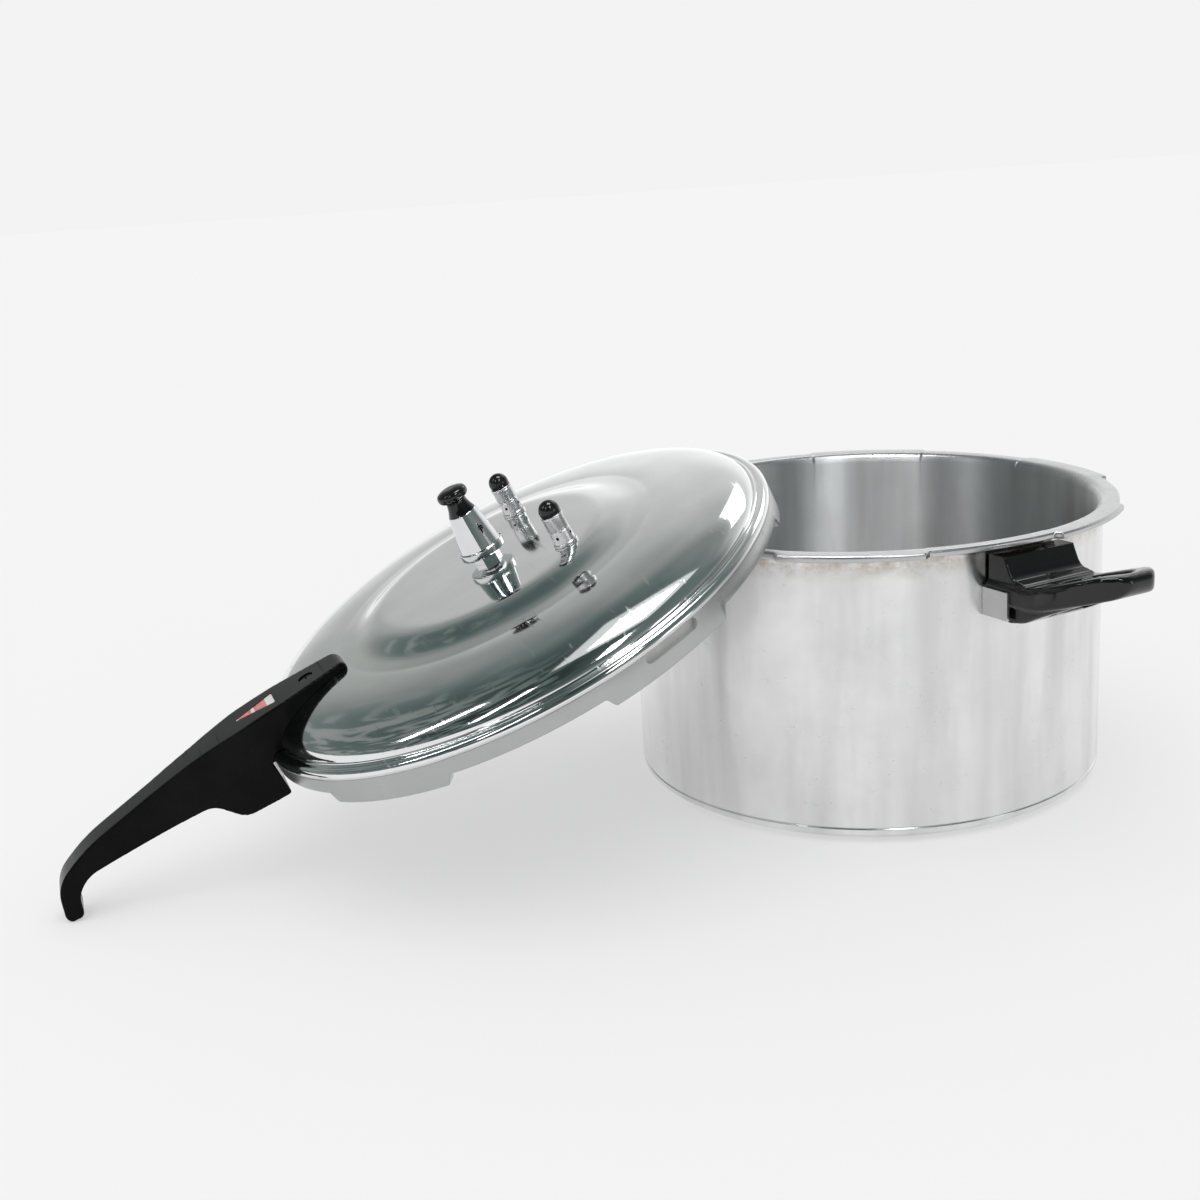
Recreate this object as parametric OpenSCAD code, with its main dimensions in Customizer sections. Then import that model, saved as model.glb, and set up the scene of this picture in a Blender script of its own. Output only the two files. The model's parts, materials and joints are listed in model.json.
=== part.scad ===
// Stovetop pressure cooker with an outer bayonet lid, shown open.
// The pot stands on the origin and the lid leans on its rim, with the tip of the lid's handle
// on the same surface. Lid parts are drawn level round the lid's own axis, with height 0 at
// the lowest edge of the skirt and the handle along -X, and lid_frame() leans them.

/* [Pot] */
// Outer radius of the pot's wall
pot_r = 140; // [110:1:170]
// Height of the rim above the surface
pot_h = 165.7; // [130:0.1:200]
// Thickness of the wall
pot_wall = 3; // [2:0.1:4.5]
// Thickness of the floor
pot_floor = 5; // [3:0.5:8]
// Radius of the outer corner at the base
base_round = 7; // [4:0.5:12]
// Width of the rim's flange outside the wall, at a lug
flange_out = 12.8; // [10:0.1:18]
// Thickness of the flange
flange_t = 3.6; // [2.5:0.1:5]
// Radial depth of the notches between the flange's lugs
notch_depth = 4; // [2:0.1:6]
// Number of bayonet lugs on the flange, and on the lid
lugs = 6; // [4:1:8]
// Share of each step round the flange that is a lug
lug_share = 0.5; // [0.4:0.01:0.5]
// Direction of the first lug of the flange, in degrees
lug_phase = -2; // [-30:1:30]

/* [Lid] */
// Thickness of the lid's sheet
lid_t = 3; // [2:0.1:4]
// Gap between the flange and the inside of the skirt
skirt_gap = 0.7; // [0.5:0.1:2]
// Height of the skirt at a lug
skirt_h = 15.5; // [14:0.5:24]
// Height of the gap between two of the lid's lugs
lug_gap_h = 5.5; // [4:0.1:8]
// Thickness of the lid's lugs
lug_t = 3; // [2:0.1:4]
// Radius of the rolled bead above the skirt
bead_r = 4; // [3:0.1:5]
// Height of the dome's shoulder above the skirt
shoulder_h = 21.5; // [15:0.5:40]
// Radial width of the rounded shoulder
shoulder_w = 54; // [30:1:70]
// Radius of the raised disc in the middle of the lid
disc_r = 74; // [66:1:80]
// Width of the step round the raised disc
step_w = 9; // [6:0.5:12]
// Height of the raised disc above the dome
disc_h = 5; // [2:0.5:8]
// Direction of the relief window in the skirt, in degrees
window_az = 283; // [278:1:288]
// Height of the relief window
window_h = 6; // [3:0.5:7]
// Distance from the lid's centre to where it leans on the rim
lean_reach = 111; // [80:1:125]
// Gap between the leaning lid and the flange
lean_gap = 0.5; // [0.3:0.1:2]

/* [Lid handle] */
// Distance of the handle's nose inside the lid's outer edge
nose_in = 60; // [45:1:70]
// Distance of the handle's tip outside the lid's outer edge
grip_out = 132.5; // [100:0.5:170]
// Height of the handle's top over the dome's crown
handle_rise = 4; // [4:0.5:20]
// Width of the handle over the lid's edge
block_w = 37; // [30:1:44]
// Width of the nose
nose_w = 26; // [20:1:30]
// Width of the grip
grip_w = 20; // [16:1:26]
// Depth of the grip, from its top to its underside
grip_d = 21; // [16:1:26]
// Radius of the recess for the screw in the nose
screw_recess_r = 4.4; // [3.5:0.1:5.5]

/* [Pot handles] */
// Direction of the helper handle, in degrees
helper_az = -82.6; // [-90:0.1:-70]
// Width of the helper handle
helper_w = 52; // [44:1:60]
// Distance of the helper handle's tip from the wall
helper_out = 82; // [66:1:95]
// Width of the finger hole in the helper handle
finger_w = 28; // [22:1:32]
// Distance of the long lower handle's tip from the wall
lower_out = 122; // [100:1:150]
// Width of the long lower handle
lower_w = 24; // [20:1:32]
// Depth of the handle blocks below the flange
block_d = 36; // [30:1:44]
// Thickness of the steel brackets
bracket_t = 1.5; // [1:0.1:2.5]

/* [Valves and weight] */
// Distance of each safety valve from the line across the lid
valve_x = 34; // [26:1:40]
// Distance of each safety valve from the lid's centre line
valve_y = 46; // [30:1:50]
// Radius of a valve's housing
valve_r = 5.9; // [5.5:0.1:7]
// Height of a valve's housing above the lid
valve_h = 18; // [15:0.5:24]
// Radius of a valve's chamber
chamber_r = 4.2; // [3.8:0.1:4.6]
// Radius of a valve's stem
stem_r = 1.5; // [1.2:0.1:1.8]
// Radial clearance of a running fit
run_gap = 0.05; // [0.02:0.01:0.1]
// Radius of a valve's ball cap
ball_r = 5.8; // [5:0.1:6.5]
// Travel of a valve's plunger
valve_travel = 3; // [1:0.5:4]
// Radius of the vent pipe
vent_r = 4.2; // [3.5:0.1:5]
// Radius of the steam bore
vent_bore_r = 1.4; // [1:0.1:2]
// Height of the vent pipe above the lid
vent_h = 21; // [12:0.5:22]
// Radius of the weight's foot
weight_r = 13; // [11:0.1:16]
// Height of the weight's metal body
weight_h = 26; // [20:0.5:30]
// Height of the weight's foot above the lid
weight_lift_h = 5; // [4:0.5:8]
// Radius of the weight's knob
knob_r = 9; // [8:0.1:11]

/* [Hidden] */
$fn = 96;
// How far a cutting shape runs past the face it cuts
past = 1;
// Gap left between parts that only sit beside each other
seat_gap = 0.3;

// Pot
in_r = pot_r - pot_wall;
mouth_round = 6.5;
neck_round = 5;
base_line_z = base_round + 1.5;
base_line_d = 0.5;
corner_in = 9;
flange_r = pot_r + flange_out;
flange_z = pot_h - flange_t;
notch_r = flange_r - notch_depth;
lug_step = 360 / lugs;
lug_arc = lug_step * lug_share;

// Lid
skirt_in_r = flange_r + skirt_gap;
lid_r = skirt_in_r + lid_t + 0.5;
lug_in_r = notch_r + 0.2;
lid_lug_arc = lug_arc - 2;
lid_lug_phase = lug_step * 0.7;
shoulder_r = lid_r - 7;
crown_r = shoulder_r - shoulder_w;
shoulder_z = skirt_h + 3.5;
crown_z = skirt_h + shoulder_h;
step_z = crown_z + 1.4;
disc_z = step_z + disc_h;
ceiling_z = skirt_h + 0.5;
ring_in_r = flange_r - 9.3;
ring_z = lug_t + flange_t + 1.4;

// How the lid lies: its handle's tip on the surface, its lugs' edge beside the flange
tip_s = lid_r + grip_out;
tip_h = -3.5;
lean_arm = lean_reach + tip_s;
lid_tilt = asin(pot_h / sqrt(lean_arm * lean_arm + tip_h * tip_h)) - atan2(-tip_h, lean_arm);
lid_z = tip_s * sin(lid_tilt) - tip_h * cos(lid_tilt);
lean_half = sqrt(lug_in_r * lug_in_r - lean_reach * lean_reach);
lean_r = flange_r + lean_gap;
lid_x = -sqrt(lean_r * lean_r - lean_half * lean_half) - lean_reach * cos(lid_tilt);

// Lid handle
handle_top = crown_z + handle_rise;
nose_s = lid_r - nose_in;
block_s = lid_r + seat_gap;
block_len = 27;
block_drop = 4.5;
screw_s = nose_s + 22;
label_s = screw_s + 20;
label_len = 24;
label_w = 17;
label_recess = 1.2;
label_t = 0.8;
tongue_t = 2.5;
tongue_w = 16;
tongue_len = 24;
tongue_z = 5;
block_screw_s = block_s + 17;

// Pot handles
bracket_r = pot_r + bracket_t;
block_top = flange_z - 3.5;
block_bottom = block_top - block_d + 2;
helper_tip_r = pot_r + helper_out;
helper_rise = 13;
lower_tip_r = pot_r + lower_out;
ear_gap = 0.2;
ear_len = 16;
ear_h = 15;

// Valves and vent: heights over the lid's lowest edge
lid_top = disc_z;
lid_under = disc_z - lid_t;
thread_r = valve_r - 0.9;
washer_t = 1.5;
nut_t = 4;
valve_foot = lid_under - washer_t - nut_t - 2;
chamber_z = valve_foot + 5;
cap_floor = 3;
inlet_r = 2;
disc_t = 2;
seat_lift = 0.05;
plunger_z = chamber_z + seat_lift;
valve_top = lid_top + valve_h;
spring_turns = 6;
spring_wire = 0.45;
spring_r = stem_r + run_gap + spring_wire + 0.6;
ball_z = valve_top + ball_r * 0.35 + 0.3;
vent_foot = lid_under - washer_t - nut_t - 3;
vent_top = lid_top + vent_h;
vent_hex_h = 3.5;
socket_r = vent_r + 0.8;
weight_z = lid_top + weight_lift_h;
weight_top = weight_z + weight_h;
foot_h = 4.2;
cone_top_r = knob_r - 0.8;
core_r = 3.4;
core_floor = vent_top + 0.05;
core_h = 5;
neck_h = 7.5;
knob_h = 8.5;

// Points along a circular or elliptic arc round c
function arc(c, rx, ry, from, to, n) =
    [for (i = [0:n]) let (a = from + (to - from) * i / n) c + [rx * cos(a), ry * sin(a)]];

// Points of an S-shaped step from p to q
function ease(p, q, n) =
    [for (i = [0:n]) let (t = i / n) [p.x + (q.x - p.x) * t, p.y + (q.y - p.y) * (1 - cos(180 * t)) / 2]];

// The outer face of the dome from the shoulder to the centre, and its inner face at depth t
function dome(t) = concat(
    arc([crown_r, shoulder_z], shoulder_w - t, crown_z - shoulder_z - t, 0, 90, 20),
    ease([disc_r + step_w, step_z - t], [disc_r, disc_z - t], 8),
    [[0, disc_z - t]]
);

// Height of the underside of the rounded shoulder at radius r
function shoulder_under(r) =
    shoulder_z + (crown_z - shoulder_z - lid_t) * sqrt(1 - pow((r - crown_r) / (shoulder_w - lid_t), 2));

module lid_frame() {
    translate([lid_x, 0, lid_z]) rotate([0, -lid_tilt, 0]) children();
}

// A ring of rectangular section between two radii and two heights, over part of a turn
module ring_part(r_in, r_out, z0, z1, start, sweep) {
    rotate([0, 0, start]) rotate_extrude(angle = sweep)
        translate([r_in, z0]) square([r_out - r_in, z1 - z0]);
}

// A side profile given as [distance, height], drawn out across a width
module across(points, w) {
    rotate([90, 0, 0]) translate([0, 0, -w / 2]) linear_extrude(w) polygon(points);
}

// ---------- Pot ----------

module pot_body() {
    outer = concat(
        [[0, 0]],
        arc([pot_r - base_round, base_round], base_round, base_round, -90, 0, 8),
        [[pot_r, base_line_z], [pot_r - base_line_d, base_line_z + base_line_d]],
        [[pot_r, base_line_z + 2 * base_line_d]],
        arc([pot_r + neck_round, flange_z - neck_round], neck_round, neck_round, 180, 90, 8),
        [[flange_r, flange_z], [flange_r, pot_h - 1.2]],
        arc([flange_r - 1.2, pot_h - 1.2], 1.2, 1.2, 0, 90, 4)
    );
    inner = concat(
        arc([in_r + mouth_round, pot_h - mouth_round], mouth_round, mouth_round, 90, 180, 8),
        arc([in_r - corner_in, pot_floor + corner_in], corner_in, corner_in, 0, -90, 8),
        [[0, pot_floor]]
    );
    color("gainsboro") difference() {
        rotate_extrude($fn = 180) polygon(concat(outer, inner));
        for (i = [0:lugs - 1])
            ring_part(notch_r, flange_r + past, flange_z - past, pot_h + past,
                lug_phase + lug_arc / 2 + i * lug_step, lug_step - lug_arc);
    }
}

// A folded steel bracket: a strap round the wall and two ears beside the handle's block
module wall_bracket(az, w) {
    half = w / 2 + ear_gap;
    span = asin((half + bracket_t) / pot_r);
    rotate([0, 0, az]) {
        ring_part(pot_r, bracket_r, block_bottom + 2, block_bottom + 2 + ear_h, -span, 2 * span);
        for (side = [-1, 1])
            difference() {
                translate([bracket_r - 6, side * (half + bracket_t / 2) - bracket_t / 2,
                    block_bottom + 2]) cube([ear_len + 6, bracket_t, ear_h]);
                translate([0, 0, block_bottom]) cylinder(r = bracket_r - 0.01, h = ear_h + 4, $fn = 180);
            }
    }
}

module helper_bracket() {
    color("silver") wall_bracket(helper_az, helper_w);
}

// The helper handle is its side profile and its plan in one: what both outlines hold
module helper_handle() {
    z = block_bottom;
    t = block_top;
    reach = helper_tip_r;
    side = [
        [pot_r - 4, z], [pot_r + 20, z - 1], [pot_r + 27, z + 1], [pot_r + 36, z + 8],
        [pot_r + 46, z + 12], [reach - 6, z + 11 + helper_rise], [reach + past, z + 13 + helper_rise],
        [reach + past, z + 22 + helper_rise], [reach - 8, z + 22 + helper_rise],
        [pot_r + 26, z + 20], [pot_r + 20, z + 19], [pot_r + 16, z + 22], [pot_r + 9, t], [pot_r - 4, t]
    ];
    half = helper_w / 2;
    plan = concat([[pot_r - 10, -half]],
        arc([pot_r + 36, 0], helper_out - 36, half, -90, 90, 24), [[pot_r - 10, half]]);
    hole = concat(arc([pot_r + 48, 0], helper_out - 48 - 10, finger_w / 2, -90, 90, 16),
        arc([pot_r + 44, 0], 12, finger_w / 2, 90, 270, 12));
    color("dimgray") rotate([0, 0, helper_az]) difference() {
        intersection() {
            across(side, helper_w + 4);
            linear_extrude(pot_h) difference() {
                polygon(plan);
                polygon(hole);
            }
        }
        cylinder(r = bracket_r + seat_gap, h = pot_h, $fn = 180);
        for (y = [-12, 12]) translate([0, y, block_bottom + 9]) rotate([0, 90, 0])
            cylinder(r = 2.1, h = pot_r + 40, $fn = 48);
        for (y = [-12, 12]) translate([pot_r + 16, y, block_bottom + 9]) rotate([0, 90, 0])
            cylinder(r = 4.2, h = 30, $fn = 48);
    }
}

// A cheese-head screw along +X, with its head's underside at x
module radial_screw(x, tail, head_r, shank_r, head_t) {
    rotate([0, 90, 0]) {
        translate([0, 0, x]) difference() {
            cylinder(r = head_r, h = head_t, $fn = 48);
            for (a = [0, 90]) rotate([0, 0, a])
                translate([-head_r * 0.7, -0.4, head_t - 0.9]) cube([head_r * 1.4, 0.8, 2]);
        }
        translate([0, 0, x - tail]) cylinder(r = shank_r, h = tail, $fn = 48);
    }
}

module helper_screws() {
    color("silver") rotate([0, 0, helper_az])
        for (y = [-12, 12])
            translate([0, y, block_bottom + 9]) radial_screw(pot_r + 16, 13.9, 3.8, 2, 2.4);
}

module lower_bracket() {
    color("silver") wall_bracket(helper_az + 180, lower_w + 6);
}

module lower_handle() {
    z = block_bottom;
    reach = lower_tip_r;
    side = [
        [pot_r - 4, z], [pot_r + 30, z + 2], [pot_r + 44, z + 8], [reach - 8, z + 9],
        [reach, z + 12], [reach, z + 22], [reach - 5, z + 26], [pot_r + 44, z + 27],
        [pot_r + 24, z + 29], [pot_r + 10, block_top], [pot_r - 4, block_top]
    ];
    half = lower_w / 2;
    plan = concat([[pot_r - 10, -half - 3], [pot_r + 28, -half - 3], [pot_r + 50, -half]],
        arc([reach - 10, 0], 10, half, -90, 90, 12),
        [[pot_r + 50, half], [pot_r + 28, half + 3], [pot_r - 10, half + 3]]);
    color("dimgray") rotate([0, 0, helper_az + 180]) difference() {
        intersection() {
            across(side, lower_w + 12);
            linear_extrude(pot_h) polygon(plan);
        }
        cylinder(r = bracket_r + seat_gap, h = pot_h, $fn = 180);
        translate([pot_r + 14, 0, block_bottom - past]) cylinder(r = 4.2, h = 9, $fn = 48);
        translate([pot_r + 14, 0, block_bottom - past]) cylinder(r = 2.1, h = 28, $fn = 48);
    }
}

module lower_screws() {
    color("silver") rotate([0, 0, helper_az + 180])
        translate([pot_r + 14, 0, block_bottom + 8 - 2.4 - 0.5]) difference() {
            union() {
                cylinder(r = 3.8, h = 2.4, $fn = 48);
                cylinder(r = 2, h = 18, $fn = 48);
            }
            translate([-2.6, -0.4, -past]) cube([5.2, 0.8, past + 0.9]);
        }
}

// ---------- Sealing ring ----------

module sealing_ring() {
    out = skirt_in_r - seat_gap;
    top = ceiling_z - seat_gap;
    color("dimgray") lid_frame() rotate_extrude($fn = 180) polygon([
        [ring_in_r, ring_z], [out, ring_z], [out, top - 3], [out - 3, top],
        [shoulder_r - lid_t + seat_gap, top], [ring_in_r, top - 3.5]
    ]);
}

// ---------- Lid ----------

// The lid's section, from the lug's inner edge round the outside and back along the inside
module lid_section() {
    polygon(concat(
        [[lug_in_r, 0], [lid_r, 0], [lid_r, skirt_h]],
        arc([lid_r - bead_r, skirt_h], bead_r, bead_r, 0, 75, 8),
        dome(0),
        [for (i = [len(dome(lid_t)) - 1:-1:0]) dome(lid_t)[i]],
        [[shoulder_r - lid_t, ceiling_z], [skirt_in_r - 3, ceiling_z], [skirt_in_r, ceiling_z - 3],
         [skirt_in_r, lug_t], [lug_in_r, lug_t]]
    ));
}

// Everything under the lid's outer face, to cut what sits on the lid
module under_lid() {
    rotate_extrude($fn = 180) polygon(concat(
        [[0, -30], [lid_r, -30], [lid_r, skirt_h]],
        arc([lid_r - bead_r, skirt_h], bead_r, bead_r, 0, 75, 8),
        dome(0)
    ));
}

module valve_places() {
    for (side = [-1, 1]) translate([valve_x, side * valve_y, 0]) children();
}

module lid_shell() {
    window_arc = 13;
    window_z = skirt_h - 4.3;
    color("silver") lid_frame() difference() {
        rotate_extrude($fn = 180) lid_section();
        for (i = [0:lugs - 1])
            ring_part(lug_in_r - past, lid_r + past, -past, lug_gap_h,
                lid_lug_phase + lid_lug_arc / 2 + i * lug_step, lug_step - lid_lug_arc);
        ring_part(skirt_in_r - past, lid_r + past, window_z - window_h / 2, window_z + window_h / 2,
            window_az - window_arc / 2, window_arc);
        translate([0, 0, lid_under - 6]) cylinder(r = thread_r, h = 20, $fn = 48);
        valve_places() translate([0, 0, lid_under - 6]) cylinder(r = thread_r, h = 20, $fn = 48);
        translate([-screw_s, 0, crown_z - 12]) cylinder(r = 2, h = 20, $fn = 48);
    }
}

// The bracket inside the handle: a curved plate on the skirt with a tongue for the screws
module lid_bracket() {
    plate_arc = 12;
    color("gray") lid_frame() difference() {
        union() {
            ring_part(lid_r, lid_r + 2, lug_gap_h + 0.5, skirt_h - 0.5, 180 - plate_arc / 2, plate_arc);
            translate([-lid_r - tongue_len, -tongue_w / 2, tongue_z])
                cube([tongue_len, tongue_w, tongue_t]);
        }
        translate([0, 0, tongue_z - past]) cylinder(r = lid_r, h = 20, $fn = 180);
        for (y = [-4.5, 4.5]) translate([-block_screw_s, y, tongue_z - past])
            cylinder(r = 1.5, h = tongue_t + 2 * past, $fn = 48);
    }
}

// Half the handle's width at each distance from the lid's centre
function handle_plan() = [
    [nose_s, nose_w / 2 - 5], [nose_s + 5, nose_w / 2 - 0.5], [nose_s + 12, nose_w / 2 + 1],
    [nose_s + 40, block_w / 2], [block_s + 6, block_w / 2], [block_s + 36, grip_w / 2 + 2],
    [block_s + 60, grip_w / 2], [tip_s - 6, grip_w / 2], [tip_s, grip_w / 2 - 3], [tip_s + past, grip_w / 2 - 5]
];

// The handle from the side: along the top from the nose to the tip, and back underneath
function handle_side() = concat(
    [[nose_s, handle_top - 6], [nose_s + 1, handle_top - 2], [nose_s + 4, handle_top]],
    [[label_s + label_len, handle_top], [block_s + 31, handle_top - 3.6]],
    [[tip_s - 44, handle_top - 11.5], [tip_s - 21, handle_top - 16], [tip_s - 11, handle_top - 20.5]],
    [[tip_s - 4, handle_top - 28], [tip_s - 0.5, handle_top - 37]],
    [[tip_s + 1, tip_h + 4], [tip_s + 0.8, tip_h + 1.2], [tip_s, tip_h], [tip_s - 6, tip_h - 0.5]],
    [[tip_s - 9, tip_h + 1], [tip_s - 10.5, tip_h + 5], [tip_s - 14, tip_h + 11]],
    [[tip_s - 18, tip_h + 14.5], [tip_s - 24, tip_h + 16.5]],
    [[block_s + 80, handle_top - 7.5 - grip_d], [block_s + 40, handle_top - 10 - grip_d]],
    [[block_s + 36, handle_top - 11 - grip_d], [block_s + 33, handle_top - 14 - grip_d]],
    [[block_s + block_len, -block_drop + 1.5], [block_s + block_len - 4, -block_drop]],
    [[block_s, -block_drop], [block_s, skirt_h + 2], [nose_s, skirt_h + 2]]
);

module lid_handle() {
    plan = handle_plan();
    both = concat(plan, [for (i = [len(plan) - 1:-1:0]) [plan[i].x, -plan[i].y]]);
    color("dimgray") lid_frame() rotate([0, 0, 180]) difference() {
        intersection() {
            across(handle_side(), block_w + 4);
            translate([0, 0, -30]) linear_extrude(100) polygon(both);
        }
        under_lid();
        // recess and hole for the nose screw
        translate([screw_s, 0, handle_top - 2.6]) cylinder(r = screw_recess_r, h = 10, $fn = 48);
        translate([screw_s, 0, 0]) cylinder(r = 2.1, h = handle_top, $fn = 48);
        // recess for the label
        translate([0, 0, handle_top - label_recess]) linear_extrude(5) polygon(label_outline(0));
        // slot for the bracket, and the holes for its screws
        ring_part(lid_r - past, lid_r + 2 + seat_gap, lug_gap_h, skirt_h, -8, 16);
        translate([lid_r - past, -tongue_w / 2 - seat_gap, tongue_z - seat_gap])
            cube([tongue_len + past + seat_gap, tongue_w + 2 * seat_gap, tongue_t + 2 * seat_gap]);
        for (y = [-4.5, 4.5]) translate([block_screw_s, y, -block_drop - past]) {
            cylinder(r = 1.7, h = 20, $fn = 48);
            cylinder(r = 3.3, h = past + 2.4, $fn = 48);
        }
    }
}

// A triangle with its point towards the tip of the handle, inset by g
function label_outline(g) = [
    [label_s + g, label_w / 2 - 1.5 * g], [label_s + g, -label_w / 2 + 1.5 * g],
    [label_s + label_len - 3 * g, 0]
];

module handle_label() {
    color("crimson") lid_frame() rotate([0, 0, 180])
        translate([0, 0, handle_top - label_recess]) linear_extrude(label_t)
            polygon(label_outline(0.3));
}

module nose_screw() {
    color("silver") lid_frame() translate([-screw_s, 0, handle_top - 2.6]) difference() {
        union() {
            cylinder(r = screw_recess_r - 0.5, h = 1.8, $fn = 48);
            translate([0, 0, -16]) cylinder(r = 1.95, h = 16.1, $fn = 48);
        }
        for (a = [0, 90]) rotate([0, 0, a]) translate([-2.4, -0.4, 1]) cube([4.8, 0.8, 2]);
    }
}

module nose_nut() {
    nut_r = 4.2;
    nut_h = 3;
    nut_z = shoulder_under(screw_s + nut_r) - 0.1 - nut_h;
    color("silver") lid_frame() translate([-screw_s, 0, nut_z]) difference() {
        cylinder(r = nut_r, h = nut_h, $fn = 6);
        translate([0, 0, -past]) cylinder(r = 2, h = nut_h + 2 * past, $fn = 48);
    }
}

module block_screws() {
    color("silver") lid_frame()
        for (y = [-4.5, 4.5]) translate([-block_screw_s, y, -block_drop + 0.6]) difference() {
            union() {
                cylinder(r = 2.8, h = 1.8, $fn = 48);
                cylinder(r = 1.4, h = tongue_z + tongue_t + block_drop, $fn = 48);
            }
            translate([-2, -0.3, -past]) cube([4, 0.6, past + 0.8]);
        }
}

// ---------- Vent pipe ----------

module vent_pipe() {
    color("silver") lid_frame() difference() {
        union() {
            translate([0, 0, vent_foot]) cylinder(r = thread_r - 0.05, h = lid_top - vent_foot, $fn = 64);
            translate([0, 0, lid_top]) cylinder(r = 8, h = vent_hex_h, $fn = 6);
            translate([0, 0, lid_top]) cylinder(r = vent_r, h = vent_h - 2, $fn = 64);
            translate([0, 0, vent_top - 2]) cylinder(r1 = vent_r, r2 = vent_r - 1.4, h = 2, $fn = 64);
        }
        translate([0, 0, vent_foot - past])
            cylinder(r = vent_bore_r, h = vent_top - vent_foot + 2 * past, $fn = 48);
        // mouth of the bore
        translate([0, 0, vent_top - 1]) cylinder(r1 = vent_bore_r, r2 = vent_bore_r + 0.8, h = 1.01, $fn = 48);
    }
}

module seal_washer(r_in) {
    translate([0, 0, lid_under - washer_t]) difference() {
        cylinder(r = r_in + 3.2, h = washer_t, $fn = 64);
        translate([0, 0, -past]) cylinder(r = r_in, h = washer_t + 2 * past, $fn = 64);
    }
}

module hex_nut(r_in, z) {
    translate([0, 0, z]) difference() {
        cylinder(r = r_in + 4, h = nut_t, $fn = 6);
        translate([0, 0, -past]) cylinder(r = r_in, h = nut_t + 2 * past, $fn = 64);
    }
}

module vent_washer() {
    color("dimgray") lid_frame() seal_washer(thread_r);
}

module vent_nut() {
    color("silver") lid_frame() hex_nut(thread_r, lid_under - washer_t - nut_t);
}

// A perforated cup over the inner end of the vent pipe, which keeps food out of it
module vent_filter() {
    cup_top = lid_under - washer_t - nut_t;
    cup_h = 9;
    cup_r = thread_r + 2.2;
    color("silver") lid_frame() translate([0, 0, cup_top - cup_h]) difference() {
        cylinder(r = cup_r, h = cup_h, $fn = 64);
        translate([0, 0, 1.2]) cylinder(r = cup_r - 1.2, h = cup_h - 2.4, $fn = 64);
        translate([0, 0, cup_h - 2]) cylinder(r = thread_r, h = 4, $fn = 64);
        for (i = [0:9]) rotate([0, 0, 36 * i]) translate([0, 0, cup_h / 2]) rotate([0, 90, 0])
            cylinder(r = 0.8, h = cup_r + past, $fn = 24);
        for (i = [0:5]) rotate([0, 0, 60 * i]) translate([cup_r / 2, 0, -past])
            cylinder(r = 0.8, h = 3, $fn = 24);
    }
}

// ---------- Safety valves ----------

module valve_housing() {
    flange = 1.5;
    lip = 1.3;
    difference() {
        union() {
            translate([0, 0, valve_foot]) cylinder(r = thread_r - 0.05, h = lid_top - valve_foot, $fn = 64);
            translate([0, 0, lid_top]) cylinder(r = valve_r + 1, h = flange, $fn = 64);
            translate([0, 0, lid_top]) cylinder(r = valve_r, h = valve_h, $fn = 64);
            translate([0, 0, valve_top - lip]) cylinder(r = valve_r + 0.3, h = lip, $fn = 64);
        }
        translate([0, 0, valve_foot - past]) cylinder(r = inlet_r, h = 8, $fn = 48);
        translate([0, 0, chamber_z]) cylinder(r = chamber_r, h = valve_top - cap_floor - chamber_z, $fn = 64);
        translate([0, 0, valve_top - cap_floor - past])
            cylinder(r = stem_r + run_gap, h = cap_floor + 2 * past, $fn = 48);
        for (i = [0:3]) rotate([0, 0, 90 * i + 45]) translate([0, 0, lid_top + valve_h / 2])
            rotate([0, 90, 0]) cylinder(r = 0.9, h = valve_r + past, $fn = 24);
    }
}

module valve_plunger() {
    translate([0, 0, plunger_z]) cylinder(r = chamber_r - 0.4, h = disc_t, $fn = 64);
    translate([0, 0, plunger_z]) cylinder(r = stem_r, h = ball_z - plunger_z + 1, $fn = 48);
}

module valve_cap() {
    difference() {
        translate([0, 0, ball_z]) sphere(r = ball_r, $fn = 64);
        translate([0, 0, ball_z - 2 * ball_r]) cylinder(r = stem_r, h = 2 * ball_r + 1, $fn = 48);
        translate([0, 0, valve_top - 2 * ball_r + 0.3]) cylinder(r = ball_r + past, h = 2 * ball_r, $fn = 48);
    }
}

// One spring, wound from rings of wire laid along a helix
module valve_spring() {
    sides = 6;
    per_turn = 16;
    z0 = plunger_z + disc_t + spring_wire;
    z1 = valve_top - cap_floor - spring_wire;
    steps = spring_turns * per_turn;
    pts = [for (i = [0:steps]) let (a = 360 * i / per_turn, z = z0 + (z1 - z0) * i / steps)
        for (k = [0:sides - 1]) let (b = 360 * k / sides, r = spring_r + spring_wire * cos(b))
            [r * cos(a), r * sin(a), z + spring_wire * sin(b)]];
    walls = [for (i = [0:steps - 1]) for (k = [0:sides - 1]) let (n = (k + 1) % sides)
        [i * sides + k, (i + 1) * sides + k, (i + 1) * sides + n, i * sides + n]];
    ends = [[for (k = [0:sides - 1]) k], [for (k = [sides - 1:-1:0]) steps * sides + k]];
    polyhedron(pts, concat(walls, ends));
}

module at_valve(side) {
    lid_frame() translate([valve_x, side * valve_y, 0]) children();
}

module valve_a_housing() { color("silver") at_valve(1) valve_housing(); }
module valve_a_washer() { color("dimgray") at_valve(1) seal_washer(thread_r); }
module valve_a_nut() { color("silver") at_valve(1) hex_nut(thread_r, lid_under - washer_t - nut_t); }
module valve_a_spring() { color("gray") at_valve(1) valve_spring(); }
module valve_a_plunger() { color("silver") at_valve(1) valve_plunger(); }
module valve_a_cap() { color("dimgray") at_valve(1) valve_cap(); }
module valve_b_housing() { color("silver") at_valve(-1) valve_housing(); }
module valve_b_washer() { color("dimgray") at_valve(-1) seal_washer(thread_r); }
module valve_b_nut() { color("silver") at_valve(-1) hex_nut(thread_r, lid_under - washer_t - nut_t); }
module valve_b_spring() { color("gray") at_valve(-1) valve_spring(); }
module valve_b_plunger() { color("silver") at_valve(-1) valve_plunger(); }
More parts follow.
